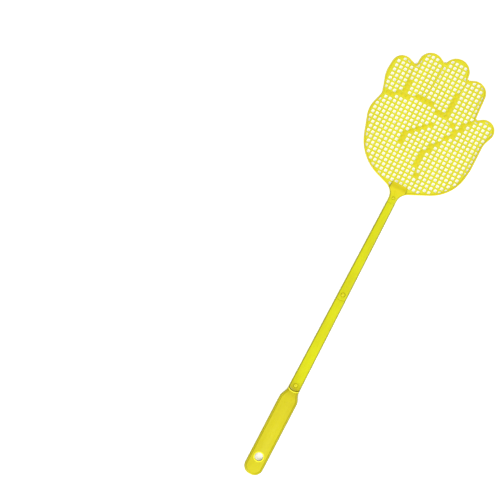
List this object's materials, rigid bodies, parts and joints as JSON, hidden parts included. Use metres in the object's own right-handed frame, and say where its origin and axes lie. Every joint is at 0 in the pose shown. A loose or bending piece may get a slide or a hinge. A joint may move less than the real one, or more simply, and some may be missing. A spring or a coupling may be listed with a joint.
{
  "type": "fly swatter",
  "caption": "Hand-shaped plastic fly swatter: mesh palm and fingers on a slim tapered shaft, flat grip with a hanging hole, plug-together sections locked by snap buttons.",
  "frame": {"origin": "middle of the swatter's outline in plan, on the flat surface its back lies on", "axes": "+Y along the shaft from the grip to the fingertips, +X to the thumb's side, +Z out of the front, palm side up"},
  "size_m": [0.118, 0.44, 0.0056],
  "materials": {
    "grip_plastic": "lemon yellow polypropylene, semi-gloss",
    "shaft_plastic": "lemon yellow polypropylene, semi-gloss",
    "mesh_plastic": "pale lemon, thin and slightly translucent, semi-gloss"
  },
  "bodies": {
    "grip": {"grip": "grip_plastic"},
    "grip_button": {"grip_snap_button": "grip_plastic"},
    "lower_shaft": {"lower_shaft": "shaft_plastic"},
    "middle_button": {"middle_snap_button": "shaft_plastic"},
    "upper_shaft": {"upper_shaft": "shaft_plastic"},
    "neck_button": {"neck_snap_button": "shaft_plastic"},
    "head": {"head": "mesh_plastic"}
  },
  "joints": [
    {"name": "lower_shaft_pull", "type": "slide", "parent": "grip", "child": "lower_shaft", "axis": [0, 1, 0], "range_m": [0, 0.018], "deforming": ["grip_snap_button"]},
    {"name": "upper_shaft_pull", "type": "slide", "parent": "lower_shaft", "child": "upper_shaft", "axis": [0, 1, 0], "range_m": [0, 0.018], "deforming": ["middle_snap_button"]},
    {"name": "head_pull", "type": "slide", "parent": "upper_shaft", "child": "head", "axis": [0, 1, 0], "range_m": [0, 0.018], "deforming": ["neck_snap_button"]},
    {"name": "grip_button_press", "type": "hinge", "parent": "grip", "child": "grip_button", "pos_m": [0.00221, -0.1184, 0.0033], "axis": [1, 0, 0], "range_deg": [0, 10], "stiffness_Nm_per_rad": 0.06},
    {"name": "middle_button_press", "type": "hinge", "parent": "lower_shaft", "child": "middle_button", "pos_m": [0.00221, -0.0218, 0.0033], "axis": [1, 0, 0], "range_deg": [0, 10], "stiffness_Nm_per_rad": 0.06},
    {"name": "neck_button_press", "type": "hinge", "parent": "upper_shaft", "child": "neck_button", "pos_m": [0.00221, 0.0812, 0.0033], "axis": [1, 0, 0], "range_deg": [0, 10], "stiffness_Nm_per_rad": 0.06}
  ]
}
